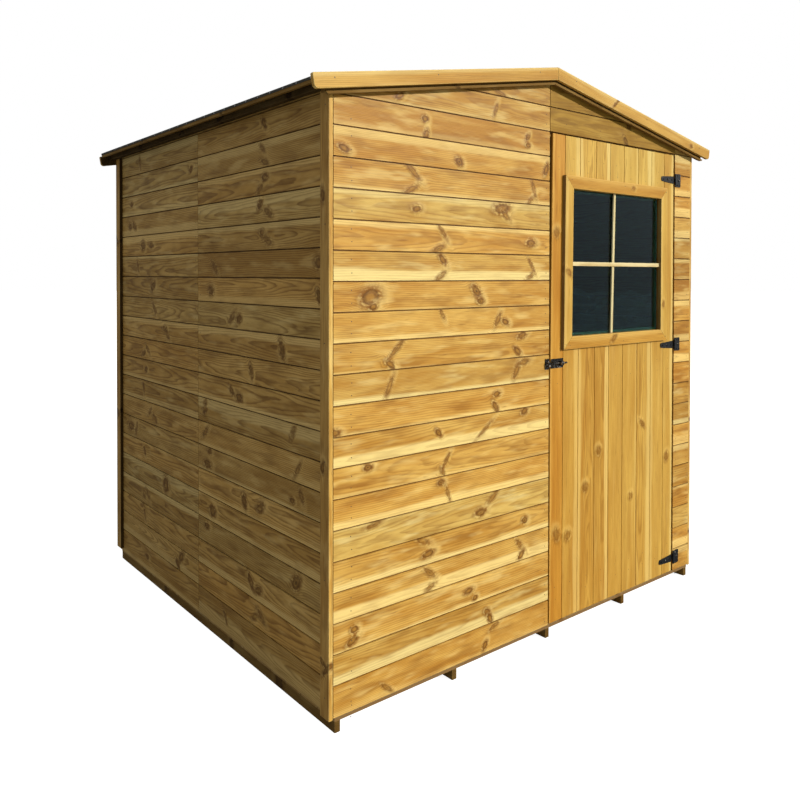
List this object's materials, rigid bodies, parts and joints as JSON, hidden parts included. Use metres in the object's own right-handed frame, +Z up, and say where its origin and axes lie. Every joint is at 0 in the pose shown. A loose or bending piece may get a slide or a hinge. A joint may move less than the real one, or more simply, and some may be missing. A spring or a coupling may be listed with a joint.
{
  "type": "garden shed",
  "caption": "Timber garden shed with horizontal board cladding, an apex roof, a part-glazed door on strap hinges and a sliding bolt.",
  "frame": {"origin": "on the ground under the middle of the shed, the centre of its bounding box", "axes": "+Z up; the front wall with the door faces -Y; +X is to the right when standing in front of it, which is the hinge side of the door"},
  "size_m": [2.0336, 1.8082, 2.0275],
  "materials": {
    "bargeboard": "planed pine, rounded edges, satin",
    "corner_trim": "planed pine, matt",
    "door_boards": "pine matchboard, satin",
    "eave_strip": "planed pine, matt",
    "felt": "mineral roofing felt",
    "floor_bearer": "sawn pine, matt",
    "floor_boards": "pine boards, matt",
    "framing": "sawn pine, matt",
    "front_cladding": "pressure-treated pine boards, honey coloured, satin",
    "hinge_metal": "black japanned, satin",
    "latch_metal": "black with bright wear, satin",
    "rear_cladding": "pressure-treated pine boards, olive brown, matt",
    "roof_boards": "pine boards, matt",
    "side_cladding": "pressure-treated pine boards, olive brown, matt",
    "verge_batten": "planed pine, matt",
    "window_frame": "planed pine, satin",
    "window_glass": "clear, dark behind"
  },
  "bodies": {
    "shed": {"bottom_hinge_plate": "hinge_metal", "door_head": "framing", "floor_bearer_1": "floor_bearer", "floor_bearer_2": "floor_bearer", "floor_bearer_3": "floor_bearer", "floor_bearer_4": "floor_bearer", "floor_bearer_5": "floor_bearer", "floor_deck": "floor_boards", "front_left_bargeboard": "bargeboard", "front_left_panel": "front_cladding", "front_left_post": "framing", "front_left_trim": "corner_trim", "front_left_verge_batten": "verge_batten", "front_right_bargeboard": "bargeboard", "front_right_post": "framing", "front_right_strip": "front_cladding", "front_right_trim": "corner_trim", "front_right_verge_batten": "verge_batten", "hinge_jamb": "framing", "latch_jamb": "framing", "latch_keeper": "latch_metal", "left_eave_strip": "eave_strip", "left_roof_panel": "roof_boards", "left_wall_front_panel": "side_cladding", "left_wall_plate": "framing", "left_wall_rear_panel": "side_cladding", "middle_hinge_plate": "hinge_metal", "over_door_panel": "front_cladding", "rear_left_bargeboard": "bargeboard", "rear_left_post": "framing", "rear_left_trim": "corner_trim", "rear_left_verge_batten": "verge_batten", "rear_right_bargeboard": "bargeboard", "rear_right_post": "framing", "rear_right_trim": "corner_trim", "rear_right_verge_batten": "verge_batten", "rear_wall_left_panel": "rear_cladding", "rear_wall_right_panel": "rear_cladding", "ridge_beam": "framing", "right_eave_strip": "eave_strip", "right_roof_panel": "roof_boards", "right_wall_front_panel": "side_cladding", "right_wall_plate": "framing", "right_wall_rear_panel": "side_cladding", "roof_felt": "felt", "top_hinge_plate": "hinge_metal"},
    "door": {"bottom_hinge_strap": "hinge_metal", "door_leaf": "door_boards", "door_window_frame": "window_frame", "door_window_glass": "window_glass", "latch_plate": "latch_metal", "middle_hinge_strap": "hinge_metal", "top_hinge_strap": "hinge_metal"},
    "bolt": {"latch_bolt": "latch_metal"}
  },
  "joints": [
    {"name": "door_hinge", "type": "hinge", "parent": "shed", "child": "door", "pos_m": [0.8013, -0.8713, 0.9], "axis": [0, 0, 1], "range_deg": [0, 150]},
    {"name": "bolt_slide", "type": "slide", "parent": "door", "child": "bolt", "axis": [-1, 0, 0], "range_m": [0, 0.018]}
  ]
}
